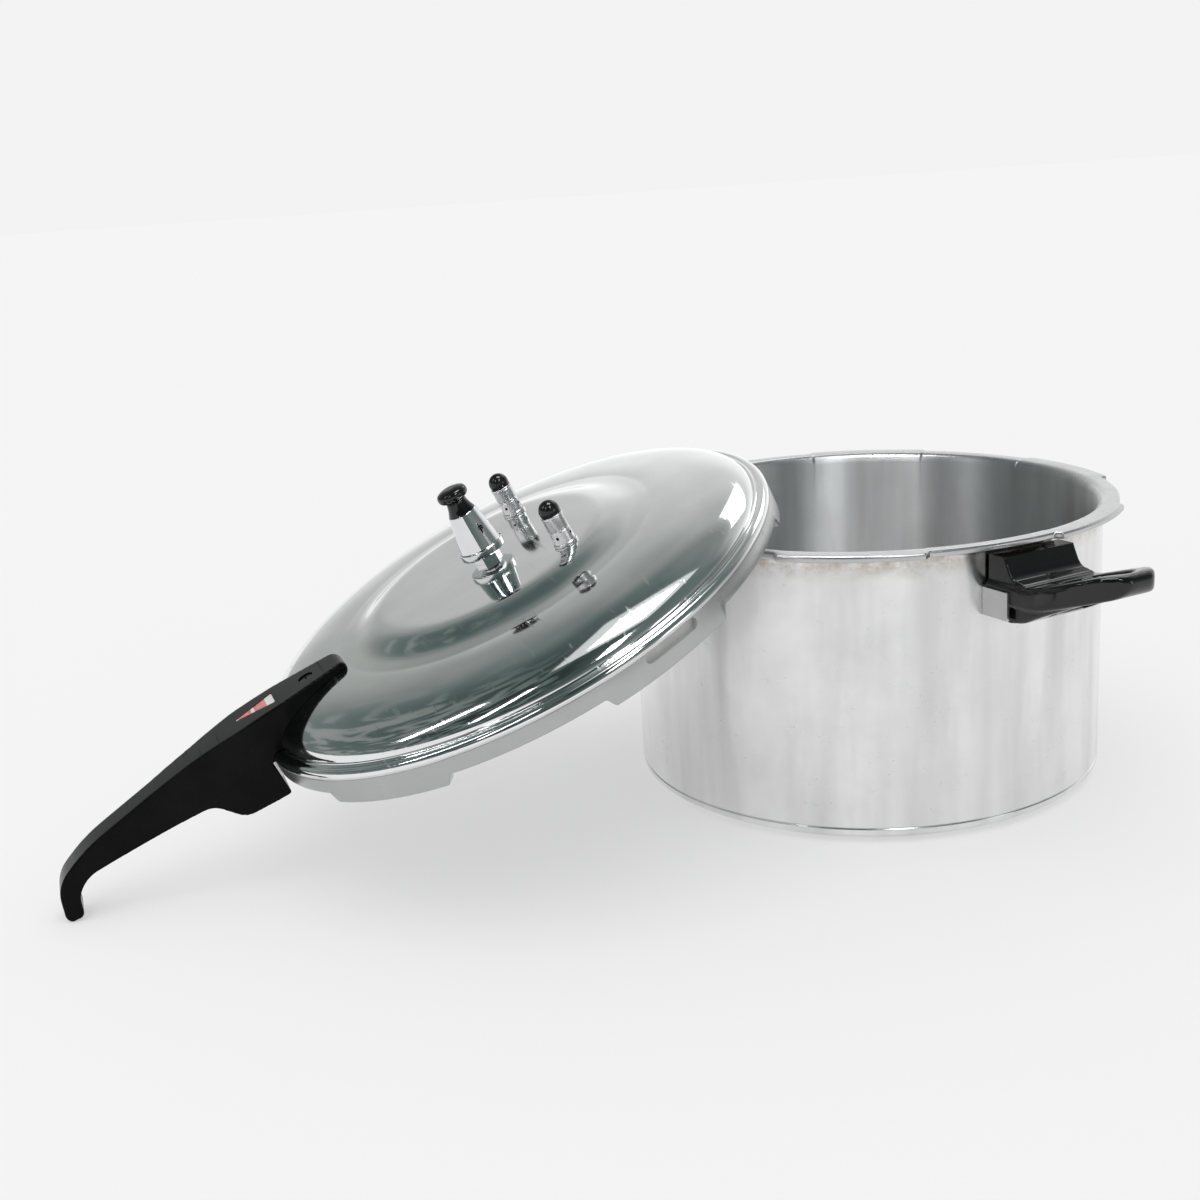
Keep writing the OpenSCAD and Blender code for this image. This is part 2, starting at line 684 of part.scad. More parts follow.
module valve_b_cap() { color("dimgray") at_valve(-1) valve_cap(); }

// ---------- Regulator weight ----------

// The loose core that closes the vent pipe: a flanged pin with a pointed end
module weight_core() {
    color("silver") lid_frame() {
        translate([0, 0, core_floor]) cylinder(r = vent_r - 0.6, h = 1.5, $fn = 64);
        translate([0, 0, core_floor - 1.2])
            cylinder(r1 = vent_bore_r - 0.6, r2 = vent_bore_r + 0.6, h = 1.21, $fn = 48);
        translate([0, 0, core_floor + 1.5]) cylinder(r = core_r - 1.4, h = core_h - 1.5, $fn = 48);
    }
}

module weight_body() {
    seat = core_floor + 1.5 + run_gap;
    color("silver") lid_frame() difference() {
        rotate_extrude() polygon([
            [0, weight_z], [weight_r - 0.6, weight_z], [weight_r, weight_z + 0.8],
            [weight_r, weight_z + foot_h - 0.6], [weight_r - 0.5, weight_z + foot_h],
            [weight_r - 1, weight_z + foot_h + 0.3], [cone_top_r, weight_top], [0, weight_top]
        ]);
        translate([0, 0, weight_z - past]) cylinder(r = socket_r, h = seat - weight_z + past, $fn = 64);
        translate([0, 0, seat - past])
            cylinder(r = core_r - 1.4 + run_gap, h = core_h + past, $fn = 48);
        for (i = [0:2]) rotate([0, 0, 120 * i + 50]) translate([0, 0, seat - 2]) rotate([0, 90, 0])
            cylinder(r = 1.4, h = weight_r + past, $fn = 32);
    }
}

module weight_knob() {
    z1 = weight_top;
    z2 = weight_top + neck_h;
    color("dimgray") lid_frame() rotate_extrude() polygon(concat(
        [[0, z1], [cone_top_r - 0.2, z1], [cone_top_r - 1.6, z1 + 3], [knob_r - 3.4, z2 - 1.5]],
        arc([knob_r - 3.4, z2 + knob_h / 2 - 1], 3.4, knob_h / 2 - 0.8, -80, 80, 12),
        [[knob_r * 0.3, z2 + knob_h - 1.3], [0, z2 + knob_h - 1]]
    ));
}

pot_body();
helper_bracket();
helper_handle();
helper_screws();
lower_bracket();
lower_handle();
lower_screws();
sealing_ring();
lid_shell();
lid_bracket();
lid_handle();
handle_label();
nose_screw();
nose_nut();
block_screws();
vent_pipe();
vent_washer();
vent_nut();
vent_filter();
valve_a_housing();
valve_a_washer();
valve_a_nut();
valve_a_spring();
valve_a_plunger();
valve_a_cap();
valve_b_housing();
valve_b_washer();
valve_b_nut();
valve_b_spring();
valve_b_plunger();
valve_b_cap();
weight_core();
weight_body();
weight_knob();
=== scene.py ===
"""Looks of the stovetop pressure cooker: camera, studio, fine meshes and procedural materials.

The CAD model is the fixed frame. The large turned and moulded pieces are rebuilt here as smooth
meshes that stand for their CAD nodes; the small hardware keeps its CAD mesh with softened edges.
Outlines are written in millimetres. Pieces of the lid are drawn level round the lid's own axis,
with height 0 at the lowest edge of the skirt, and LID leans them as the CAD does.
"""
import json
import math

import bmesh
import bpy
from mathutils import Matrix, Vector


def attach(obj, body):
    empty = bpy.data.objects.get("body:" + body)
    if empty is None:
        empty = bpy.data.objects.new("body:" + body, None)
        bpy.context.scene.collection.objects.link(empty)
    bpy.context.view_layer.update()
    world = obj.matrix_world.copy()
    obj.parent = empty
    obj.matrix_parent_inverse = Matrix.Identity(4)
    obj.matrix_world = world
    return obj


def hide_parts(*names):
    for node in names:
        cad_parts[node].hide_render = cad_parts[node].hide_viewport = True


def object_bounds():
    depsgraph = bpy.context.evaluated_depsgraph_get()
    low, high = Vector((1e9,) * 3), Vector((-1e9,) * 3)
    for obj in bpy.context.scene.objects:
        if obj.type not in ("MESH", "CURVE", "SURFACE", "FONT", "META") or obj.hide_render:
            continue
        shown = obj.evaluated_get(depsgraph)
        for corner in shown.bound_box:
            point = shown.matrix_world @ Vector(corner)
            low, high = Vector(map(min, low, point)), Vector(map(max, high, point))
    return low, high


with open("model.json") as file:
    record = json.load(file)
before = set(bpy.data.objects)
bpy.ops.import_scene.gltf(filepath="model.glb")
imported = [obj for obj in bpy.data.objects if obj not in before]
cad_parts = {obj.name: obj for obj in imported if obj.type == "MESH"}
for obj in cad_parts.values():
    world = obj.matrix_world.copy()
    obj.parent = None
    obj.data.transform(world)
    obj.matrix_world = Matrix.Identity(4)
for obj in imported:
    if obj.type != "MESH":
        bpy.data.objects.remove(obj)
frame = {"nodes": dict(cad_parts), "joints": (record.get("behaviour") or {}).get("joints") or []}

cad_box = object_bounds()
MM = 0.001

# ---------- Places taken from the frame ----------

joints = {j["name"]: j for j in frame["joints"]}
lid_up = Vector(joints["lid_turn"]["axis"]).normalized()
lid_side = Vector((0, 1, 0))
lid_fore = lid_side.cross(lid_up)
lid_axes = Matrix((lid_fore, lid_side, lid_up)).transposed()
LID = Matrix.Translation(joints["lid_turn"]["pos_m"]) @ lid_axes.to_4x4()
POT = Matrix.Identity(4)

# ---------- Sizes in millimetres, as in the CAD ----------

POT_R, POT_H, WALL, FLOOR = 140, 165.7, 3, 5
FLANGE_R, FLANGE_T, NOTCH = 152.8, 3.6, 4
LUGS, LUG_STEP, LUG_ARC, LUG_PHASE = 6, 60, 30, -2
LID_R, SKIRT_IN_R, SKIRT_H, LUG_IN_R, LUG_T = 157, 153.5, 15.5, 149, 3
LUG_GAP_H, LID_T = 5.5, 3
LID_LUG_ARC, LID_LUG_PHASE = 28, 42
CROWN_R, SHOULDER_W, SHOULDER_Z, CROWN_Z = 96, 54, 19, 37
DISC_R, STEP_W, DISC_Z = 74, 9, 43.4
STEP_SPREAD = 8  # how far the step runs out past its CAD width on both sides, to look as soft as spun metal
VALVE_X, VALVE_Y = 34, 46
SCREW_S = 119
PORT_R, SCREW_BORE_R, SCREW_HEAD_R = 5.1, 2.1, 4.2


# ---------- Outlines ----------

def arc(cx, cy, rx, ry, start, end, n):
    """n + 1 points of an elliptic arc, in degrees."""
    steps = [math.radians(start + (end - start) * i / n) for i in range(n + 1)]
    return [(cx + rx * math.cos(a), cy + ry * math.sin(a)) for a in steps]


def rounded(corners, n=5):
    """A closed outline of corners (x, y, cut), each rounded from cut before it to cut after it."""
    out = []
    for i, (x, y, cut) in enumerate(corners):
        if not cut:
            out.append((x, y))
            continue
        at = Vector((x, y))
        back = Vector(corners[i - 1][:2]) - at
        ahead = Vector(corners[(i + 1) % len(corners)][:2]) - at
        cut = min(cut, back.length * 0.48, ahead.length * 0.48)
        back.normalize()
        ahead.normalize()
        weight = math.sin(back.angle(ahead) / 2)
        for k in range(n + 1):
            t = k / n
            a, b, c = (1 - t) ** 2, 2 * t * (1 - t) * weight, t * t
            p = ((at + back * cut) * a + at * b + (at + ahead * cut) * c) / (a + b + c)
            out.append((p.x, p.y))
    return out


def spaced(points, step):
    """The same open line with points every step, or closer."""
    out = [points[0]]
    for (x0, y0), (x1, y1) in zip(points, points[1:]):
        n = max(1, math.ceil(math.hypot(x1 - x0, y1 - y0) / step))
        out += [(x0 + (x1 - x0) * k / n, y0 + (y1 - y0) * k / n) for k in range(1, n + 1)]
    return out


def softened(points, rounds):
    """The same open line with its bends smoothed; its ends stay."""
    for _ in range(rounds):
        inner = [((a[0] + 2 * b[0] + c[0]) / 4, (a[1] + 2 * b[1] + c[1]) / 4)
                 for a, b, c in zip(points, points[1:], points[2:])]
        points = [points[0], *inner, points[-1]]
    return points


def smoothstep(t):
    t = min(max(t, 0), 1)
    return t * t * (3 - 2 * t)


def lug_share(azimuth, phase, arc_deg, blend_deg):
    """1 on a lug, 0 in a gap, and a smooth rise over blend_deg between them."""
    off = abs((azimuth - phase + LUG_STEP / 2) % LUG_STEP - LUG_STEP / 2)
    return smoothstep((arc_deg / 2 - off) / blend_deg + 0.5)


def lug_azimuths(phase, arc_deg, blend_deg, base=480, extra=8):
    """Azimuths for a lathe, with more of them where a lug begins or ends."""
    found = {round(360 * i / base, 4) for i in range(base)}
    for lug in range(LUGS):
        for side in (-1, 1):
            edge = phase + lug * LUG_STEP + side * arc_deg / 2
            found |= {round((edge + blend_deg * (k / extra - 0.5) * 1.2) % 360, 4) for k in range(extra + 1)}
    return sorted(found)


# ---------- Meshes ----------

def add_piece(name, verts, faces, place, crease=35):
    """A smooth-shaded mesh in millimetres, put in place and turned into metres."""
    mesh = bpy.data.meshes.new(name)
    mesh.from_pydata([Vector(v) * MM for v in verts], [], faces)
    mesh.validate()
    piece = bpy.data.objects.new(name, mesh)
    bpy.context.scene.collection.objects.link(piece)
    piece.matrix_world = place
    finish_mesh(piece, crease)
    return piece


def finish_mesh(piece, crease=35):
    """Outward faces, smooth shading, and sharp edges only above the crease angle."""
    bm = bmesh.new()
    bm.from_mesh(piece.data)
    bmesh.ops.remove_doubles(bm, verts=bm.verts, dist=1e-7)
    bmesh.ops.recalc_face_normals(bm, faces=bm.faces)
    bm.to_mesh(piece.data)
    bm.free()
    piece.data.shade_smooth()
    piece.data.set_sharp_from_angle(angle=math.radians(crease))


def lathe(name, profile, place, turns=128, azimuths=None, crease=35):
    """A closed outline of (radius, height), or a function of the azimuth that gives one, turned round +Z."""
    azimuths = azimuths or [360 * i / turns for i in range(turns)]
    columns = [profile(a) if callable(profile) else profile for a in azimuths]
    rows = len(columns[0])
    verts = []
    for azimuth, column in zip(azimuths, columns):
        c, s = math.cos(math.radians(azimuth)), math.sin(math.radians(azimuth))
        verts += [(r * c, r * s, z) for r, z in column]
    faces = []
    for i in range(len(azimuths)):
        j = (i + 1) % len(azimuths)
        for k in range(rows):
            m = (k + 1) % rows
            if columns[i][k][0] < 1e-6 and columns[i][m][0] < 1e-6:
                continue
            faces.append((i * rows + k, j * rows + k, j * rows + m, i * rows + m))
    return add_piece(name, verts, faces, place, crease)


def prism(name, low, high, z0, z1, place):
    """A solid between two outlines of as many points at two heights."""
    n = len(low)
    verts = [(x, y, z0) for x, y in low] + [(x, y, z1) for x, y in high]
    sides = [(i, (i + 1) % n, n + (i + 1) % n, n + i) for i in range(n)]
    return add_piece(name, verts, [tuple(range(n - 1, -1, -1)), tuple(range(n, 2 * n)), *sides], place)


def rod(name, r, z0, z1, place, n=48):
    return lathe(name, [(0, z0), (r, z0), (r, z1), (0, z1)], place, n)


def apply_modifiers(piece):
    """Writes a piece's modifiers into its mesh."""
    depsgraph = bpy.context.evaluated_depsgraph_get()
    made = bpy.data.meshes.new_from_object(piece.evaluated_get(depsgraph))
    piece.modifiers.clear()
    piece.data = made


def combine(piece, others, operation="DIFFERENCE", crease=35):
    """Cuts other solids from a piece, or joins or intersects them with it, and uses them up."""
    for other in others:
        boolean = piece.modifiers.new("combine", "BOOLEAN")
        boolean.operation, boolean.solver, boolean.object = operation, "EXACT", other
    apply_modifiers(piece)
    for other in others:
        bpy.data.objects.remove(other)
    finish_mesh(piece, crease)
    return piece


def mould(piece, voxel, rounds, crease=60):
    """Melts a piece's edges and joints round, as in a moulding."""
    remesh = piece.modifiers.new("remesh", "REMESH")
    remesh.mode, remesh.voxel_size = "VOXEL", voxel * MM
    smooth = piece.modifiers.new("smooth", "SMOOTH")
    smooth.factor, smooth.iterations = 0.5, rounds
    apply_modifiers(piece)
    finish_mesh(piece, crease)
    return piece


def joined(name, pieces):
    """One piece of several closed meshes in the same place."""
    with bpy.context.temp_override(active_object=pieces[0], selected_editable_objects=pieces):
        bpy.ops.object.join()
    pieces[0].name = name
    return pieces[0]


def finish_piece(piece, body, slot, nodes, *materials, rule=None):
    """Gives a piece its materials and its body, and hides the CAD nodes that it stands for.

    Each face's material number comes from rule(centre in mm, normal), in the frame it was drawn in.
    """
    piece.data.materials.clear()
    for made in materials:
        piece.data.materials.append(made)
    if rule:
        for face in piece.data.polygons:
            face.material_index = rule(face.center / MM, face.normal)
    piece.data.transform(piece.matrix_world)
    piece.matrix_world = Matrix.Identity(4)
    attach(piece, body)
    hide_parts(*nodes)
    return piece


# ---------- Materials ----------

class Surface:
    """A Principled material that is built up node by node."""

    def __init__(self, name, frame_in=None, **constants):
        self.made = bpy.data.materials.new(name)
        self.made.use_nodes = True
        self.tree = self.made.node_tree
        self.shader = self.tree.nodes["Principled BSDF"]
        for socket, value in constants.items():
            self.shader.inputs[socket.replace("_", " ")].default_value = value
        self.place = self.add("ShaderNodeTexCoord").outputs["Object"]
        if frame_in:
            inputs = {"Vector": self.place, "Location": frame_in.translation, "Rotation": frame_in.to_euler()}
            self.place = self.add("ShaderNodeMapping", inputs, vector_type="TEXTURE").outputs[0]

    def add(self, kind, inputs=(), **settings):
        """A node with its settings, and its inputs given as numbers or as outputs to link."""
        made = self.tree.nodes.new(kind)
        for key, value in settings.items():
            setattr(made, key, value)
        for key, value in dict(inputs).items():
            self.put(made.inputs[key], value)
        return made

    def put(self, socket, value):
        if isinstance(value, bpy.types.NodeSocket):
            self.tree.links.new(value, socket)
        else:
            socket.default_value = value

    def math(self, operation, a, b=0.0, c=0.0):
        return self.add("ShaderNodeMath", {0: a, 1: b, 2: c}, operation=operation).outputs[0]

    def xyz(self, vector):
        return self.add("ShaderNodeSeparateXYZ", {0: vector}).outputs

    def vector(self, x=0.0, y=0.0, z=0.0):
        return self.add("ShaderNodeCombineXYZ", {0: x, 1: y, 2: z}).outputs[0]

    def noise(self, vector, scale, detail=4.0, rough=0.5):
        """Noise from 0 to 1. Scale is in waves per metre."""
        inputs = {"Vector": vector, "Scale": scale, "Detail": detail, "Roughness": rough}
        return self.add("ShaderNodeTexNoise", inputs).outputs["Fac"]

    def remap(self, value, low, high, to_low, to_high):
        inputs = {"Value": value, "From Min": low, "From Max": high, "To Min": to_low, "To Max": to_high}
        return self.add("ShaderNodeMapRange", inputs).outputs["Result"]

    def mix(self, share, a, b):
        """A colour from a to b. The node keeps its colour sockets at 6 and 7, and its colour result at 2."""
        return self.add("ShaderNodeMix", {0: share, 6: a, 7: b}, data_type="RGBA").outputs[2]

    def around(self, across=1.0, along=1.0):
        """Coordinates that follow spinning: radius and height across it, and a little azimuth along it."""
        x, y, z = self.xyz(self.place)
        radius = self.math("SQRT", self.math("ADD", self.math("MULTIPLY", x, x), self.math("MULTIPLY", y, y)))
        azimuth = self.math("ARCTAN2", y, x)
        metres_per_radian = 0.02
        return self.vector(self.math("MULTIPLY", radius, across),
                           self.math("MULTIPLY", azimuth, along * metres_per_radian),
                           self.math("MULTIPLY", z, across))

    def bump(self, height, strength, distance, normal=None):
        inputs = {"Height": height, "Strength": strength, "Distance": distance}
        if normal is not None:
            inputs["Normal"] = normal
        return self.add("ShaderNodeBump", inputs).outputs["Normal"]

    def set(self, socket, value):
        self.put(self.shader.inputs[socket], value)
        return self


def scratches(s, scale, strength):
    """A height field of sparse straight scratches at mixed angles."""
    total = None
    for angle in (0.3, 1.35, 2.4):
        turned = s.add("ShaderNodeMapping", {"Vector": s.place, "Rotation": (0.4, angle, angle * 1.7),
                                             "Scale": (scale, scale * 0.03, scale)}).outputs[0]
        line = s.noise(turned, 1.0, 1.0)
        line = s.remap(line, 0.70, 0.78, 0.0, strength)
        total = line if total is None else s.math("MAXIMUM", total, line)
    return total


def aluminium(name, color, rough, grain, haze=0.03, anisotropic=0.0, spin=900.0, wave=0.0, stain=None,
              reflection_streaks=0.0, wear=1.0, frame_in=None):
    """Aluminium with fine spin lines, a haze of handling marks, scratches, slow waves in the sheet, an
    optional stain, and optional darker streaks of painted reflection.
    """
    s = Surface(name, frame_in, Metallic=1.0, Anisotropic=anisotropic, Anisotropic_Rotation=0.25)
    lines = s.noise(s.around(), spin, 3.0, 0.6)
    cloud = s.noise(s.place, 38.0, 5.0, 0.6)
    marks = scratches(s, 260.0, 1.0)
    tint = s.remap(cloud, 0.3, 0.7, 0.0, 1.0)
    dim = tuple(c * 0.93 for c in color[:3]) + (1.0,)
    base = s.mix(tint, color, dim)
    if reflection_streaks:
        # Painted reflection: slow darker patches round the metal and up its height stand for the streaks that
        # the pot reflects.
        x, y, z = s.xyz(s.place)
        turn = s.noise(s.vector(s.math("ARCTAN2", y, x), s.math("MULTIPLY", z, 0.8)), 5.0, 3.0)
        dark = tuple(c * (1 - reflection_streaks) for c in color[:3]) + (1.0,)
        base = s.mix(s.remap(turn, 0.42, 0.66, 0.0, 1.0), base, dark)
    if stain:
        low, high, brown = stain
        height = s.xyz(s.place)[2]
        band = s.math("MULTIPLY", s.remap(height, low, high, 0.0, 1.0),
                      s.remap(s.noise(s.around(1.0, 6.0), 120.0, 6.0, 0.7), 0.38, 0.66, 0.1, 0.9))
        base = s.mix(band, base, brown)
    s.set("Base Color", base)
    worn = s.math("ADD", s.remap(cloud, 0.3, 0.75, rough, rough + haze),
                  s.math("MULTIPLY", marks, 0.12 * wear))
    s.set("Roughness", s.math("ADD", worn, s.math("MULTIPLY", lines, haze)))
    normal = s.bump(lines, grain, 0.00002)
    normal = s.bump(marks, 0.25 * wear, 0.00004, normal)
    if wave:
        normal = s.bump(s.noise(s.place, 14.0, 1.0), 1.0, wave, normal)
    s.set("Normal", normal)
    if anisotropic:
        s.set("Tangent", s.add("ShaderNodeTangent", direction_type="RADIAL", axis="Z").outputs[0])
    return s.made


def bakelite(name, rough, grain=0.1, shine=0.5):
    """Black moulded plastic, with a faint orange-peel and dust-fine scratches."""
    s = Surface(name, IOR=1.5, Specular_IOR_Level=shine)
    cloud = s.noise(s.place, 45.0, 5.0, 0.6)
    fine = s.noise(s.place, 2600.0, 3.0, 0.6)
    marks = scratches(s, 420.0, 1.0)
    s.set("Base Color", s.mix(s.remap(cloud, 0.35, 0.7, 0.0, 1.0),
                              (0.003, 0.003, 0.0033, 1), (0.006, 0.006, 0.0065, 1)))
    s.set("Roughness", s.math("ADD", s.remap(cloud, 0.3, 0.7, rough, rough + 0.06),
                              s.math("MULTIPLY", marks, 0.12)))
    normal = s.bump(s.noise(s.place, 320.0, 2.0), grain, 0.00006)
    normal = s.bump(fine, grain * 2, 0.00002, normal)
    s.set("Normal", s.bump(marks, 0.3, 0.00003, normal))
    return s.made


def chrome(name):
    """Bright plate with finger haze."""
    s = Surface(name, Metallic=1.0)
    cloud = s.noise(s.place, 120.0, 5.0, 0.6)
    s.set("Base Color", s.mix(cloud, (0.80, 0.81, 0.83, 1), (0.70, 0.71, 0.73, 1)))
    s.set("Roughness", s.remap(cloud, 0.35, 0.75, 0.03, 0.09))
    s.set("Normal", s.bump(s.noise(s.place, 700.0, 3.0), 0.08, 0.00002))
    return s.made


def steel(name, light=0.66, dark=0.50):
    """Plain drawn steel with lines along its length and a dull patina."""
    s = Surface(name, Metallic=1.0)
    drawn = s.add("ShaderNodeMapping", {"Vector": s.place, "Scale": (1.0, 1.0, 12.0)}).outputs[0]
    lines = s.noise(drawn, 600.0, 3.0, 0.6)
    cloud = s.noise(s.place, 90.0, 5.0, 0.6)
    s.set("Base Color", s.mix(cloud, (light, light, light, 1), (dark, dark, dark, 1)))
    s.set("Roughness", s.remap(cloud, 0.3, 0.7, 0.16, 0.32))
    s.set("Normal", s.bump(lines, 0.25, 0.00003))
    return s.made


def rubber(name, dark, light, rough, grain):
    """Soft rubber with a fine matt grain, paler where it is worn."""
    s = Surface(name, IOR=1.48)
    cloud = s.noise(s.place, 70.0, 5.0, 0.6)
    s.set("Base Color", s.mix(s.remap(cloud, 0.35, 0.7, 0.0, 1.0), dark, light))
    s.set("Roughness", s.remap(cloud, 0.3, 0.7, rough, rough + 0.1))
    s.set("Normal", s.bump(s.noise(s.place, 1800.0, 3.0), grain, 0.00004))
    return s.made


def label_print(name, start, length):
    """A white printed insert with plain red bars across it."""
    s = Surface(name, LID)
    outward = s.math("MULTIPLY", s.xyz(s.place)[0], -1.0)
    along = s.math("DIVIDE", s.math("SUBTRACT", outward, start * MM), length * MM)
    bars = None
    for low, high in ((0.20, 0.50), (0.58, 0.92)):
        bar = s.math("MULTIPLY", s.math("GREATER_THAN", along, low), s.math("LESS_THAN", along, high))
        bars = bar if bars is None else s.math("MAXIMUM", bars, bar)
    worn = s.remap(s.noise(s.place, 700.0, 5.0, 0.7), 0.40, 0.62, 0.55, 1.0)
    s.set("Base Color", s.mix(s.math("MULTIPLY", bars, worn), (0.70, 0.69, 0.66, 1), (0.62, 0.03, 0.03, 1)))
    s.set("Roughness", s.remap(s.noise(s.place, 300.0, 4.0), 0.3, 0.7, 0.3, 0.5))
    s.set("Normal", s.bump(s.noise(s.place, 900.0, 3.0), 0.2, 0.00003))
    return s.made


BRIGHT = (0.86, 0.875, 0.87, 1)
BROWN = (0.42, 0.33, 0.26, 1)
lid_mirror = aluminium("lid_mirror", BRIGHT, 0.05, 0.10, haze=0.03, spin=700.0, wave=0.0006, frame_in=LID)
# The skirt's aluminium is set darker than the lid's: partly for its satin finish, partly as painted shade for
# the shadowed floor it reflects.
lid_skirt_painted_shade = aluminium("lid_skirt_painted_shade", (0.47, 0.475, 0.475, 1), 0.24, 0.4, haze=0.08, frame_in=LID)
lid_satin = aluminium("lid_satin", (0.72, 0.725, 0.73, 1), 0.30, 0.35, haze=0.08, frame_in=LID)
# Both pot materials carry darker streaks of painted reflection.
pot_wall = aluminium("pot_wall", (0.86, 0.865, 0.86, 1), 0.20, 0.3, haze=0.05, anisotropic=0.8, wave=0.0003,
                     stain=(0.148, 0.159, BROWN), reflection_streaks=0.2, wear=0.25)
pot_inside = aluminium("pot_inside", (0.80, 0.81, 0.81, 1), 0.44, 0.6, haze=0.06, anisotropic=0.95,
                       spin=1300.0, reflection_streaks=0.25, wear=0.3)
machined = aluminium("machined", (0.56, 0.565, 0.57, 1), 0.20, 0.5, haze=0.10)
gloss_black = bakelite("gloss_black", 0.07)
handle_black = bakelite("handle_black", 0.20, shine=0.07)
satin_black = bakelite("satin_black", 0.32, 0.25, shine=0.26)
chromed = chrome("chromed")
steely = steel("steely")
# Steel set nearly black for the nose screw: painted shade standing for the darkness of its recess.
painted_shade_steel = steel("painted_shade_steel", 0.10, 0.06)
ball_rubber = rubber("ball_rubber", (0.006, 0.006, 0.006, 1), (0.012, 0.012, 0.012, 1), 0.10, 0.08)
seal_rubber = rubber("seal_rubber", (0.50, 0.50, 0.49, 1), (0.62, 0.62, 0.60, 1), 0.45, 0.3)
dark_rubber = rubber("dark_rubber", (0.05, 0.05, 0.05, 1), (0.09, 0.09, 0.09, 1), 0.5, 0.4)


# ---------- Pot ----------

POT_BLEND = 1.4


def pot_outline(azimuth):
    """The pot's section: outside up from the centre, over the flange, and down the inside."""
    out = FLANGE_R - NOTCH * (1 - lug_share(azimuth, LUG_PHASE, LUG_ARC, POT_BLEND))
    low = POT_H - FLANGE_T
    inner = POT_R - WALL
    corners = [
        (0, 0, 0), (POT_R - 9, 0, 4), (POT_R, 5.5, 5),
        (POT_R, 8.6, 0.5), (POT_R - 0.6, 9.1, 0.2), (POT_R, 9.7, 0.5),
        (POT_R, 60, 1), (POT_R, 120, 1), (POT_R, low, 5), (out, low, 0.9), (out, POT_H, 1.5),
        (inner, POT_H, 6.5), (inner, 110, 1), (inner, 60, 1), (inner, FLOOR, 9),
        (60, FLOOR - 0.3, 6), (0, FLOOR - 0.3, 0),
    ]
    return rounded(corners, 7)


def make_pot():
    piece = lathe("pot", pot_outline, POT, azimuths=lug_azimuths(LUG_PHASE, LUG_ARC, POT_BLEND), crease=50)

    def face_kind(at, normal):
        radius = math.hypot(at.x, at.y)
        if radius < POT_R - 1.5 and at.z > FLOOR - 1:
            return 1
        if at.z > POT_H - FLANGE_T - 0.5 and radius > POT_R - 3.5:
            return 2
        return 0

    finish_piece(piece, "pot", "polished_aluminium", ["pot_body"], pot_wall, pot_inside, machined,
                 rule=face_kind)


make_pot()

# ---------- Lid ----------

LID_BLEND = 1.6
BEAD_R = 3.6


def dome_line(depth):
    """The dome's line from the shoulder to the centre, depth below its outer face."""
    shoulder = arc(CROWN_R, SHOULDER_Z, SHOULDER_W - depth, CROWN_Z - SHOULDER_Z - depth, 0, 90, 48)
    points = [shoulder.pop()]
    steps = 24
    low_r, high_r, low_z = DISC_R + STEP_W + STEP_SPREAD, DISC_R - STEP_SPREAD, CROWN_Z + 0.5
    for i in range(steps + 1):
        t = i / steps
        rise = (1 - math.cos(math.pi * t)) / 2
        points.append((low_r + (high_r - low_r) * t, low_z - depth + (DISC_Z - low_z) * rise))
    points.append((0, DISC_Z - depth))
    return softened(shoulder, 2) + softened(spaced(points, 1.2), 10)


OUTER_DOME = dome_line(0)
INNER_DOME = dome_line(LID_T)[::-1]


def lid_outline(azimuth):
    """The lid's section: the lug's underside, the skirt, the bead, the dome and the underside."""
    share = lug_share(azimuth, LID_LUG_PHASE, LID_LUG_ARC, LID_BLEND)
    low = LUG_GAP_H * (1 - share)
    inner = SKIRT_IN_R - (SKIRT_IN_R - LUG_IN_R) * share
    lip = 1 + (LUG_T - 1) * share
    skirt = rounded([
        (SKIRT_IN_R, low + lip + 0.6, 0.4), (inner, low + lip, 0.3), (inner, low, 0.4), (LID_R, low, 1.2),
        (LID_R, SKIRT_H - 0.6, 0.6),
    ], 4)
    bead = arc(LID_R - BEAD_R, SKIRT_H, BEAD_R, BEAD_R, 4, 96, 12)
    valley = arc(LID_R - BEAD_R - 0.6, SKIRT_H + BEAD_R + 0.9, 2.2, 1.2, 250, 185, 5)
    under = [(SKIRT_IN_R - 3, SKIRT_H + 0.5), (SKIRT_IN_R, SKIRT_H - 2.5)]
    return skirt + bead + valley + OUTER_DOME[1:] + INNER_DOME + under


def window_cutter():
    """A slot with round ends through the skirt."""
    az, half, r = math.radians(283), 17.0, 3.0
    path = arc(half - r, 0, r, r, -90, 90, 8) + arc(-half + r, 0, r, r, 90, 270, 8)
    cutter = prism("window_cutter", path, path, 140, 170, Matrix.Identity(4))
    across = Vector((-math.sin(az), math.cos(az), 0))
    out = Vector((math.cos(az), math.sin(az), 0))
    cutter.matrix_world = (LID @ Matrix.Translation((0, 0, 11.2 * MM))
                           @ Matrix((across, Vector((0, 0, 1)), out)).transposed().to_4x4())
    return cutter


def make_lid():
    azimuths = lug_azimuths(LID_LUG_PHASE, LID_LUG_ARC, LID_BLEND)
    piece = lathe("lid", lid_outline, LID, azimuths=azimuths, crease=50)
    cutters = [window_cutter()]
    for x, y, r in ((0, 0, PORT_R), (VALVE_X, VALVE_Y, PORT_R), (VALVE_X, -VALVE_Y, PORT_R),
                    (-SCREW_S, 0, SCREW_BORE_R)):
        cutters.append(rod("hole_cutter", r, 20, 60, LID @ Matrix.Translation((x * MM, y * MM, 0))))
    combine(piece, cutters, crease=50)

    def face_kind(at, normal):
        radius = math.hypot(at.x, at.y)
        if radius > LID_R - 0.8 and at.z < SKIRT_H - 1:
            return 1
        under = normal.z < -0.05 or radius < SKIRT_IN_R + 0.3
        return 2 if at.z < SKIRT_H + 1 and under or normal.z < -0.05 else 0

    finish_piece(piece, "lid", "polished_aluminium", ["lid_shell"], lid_mirror, lid_skirt_painted_shade, lid_satin,
                 rule=face_kind)


make_lid()

# ---------- Lid handle ----------

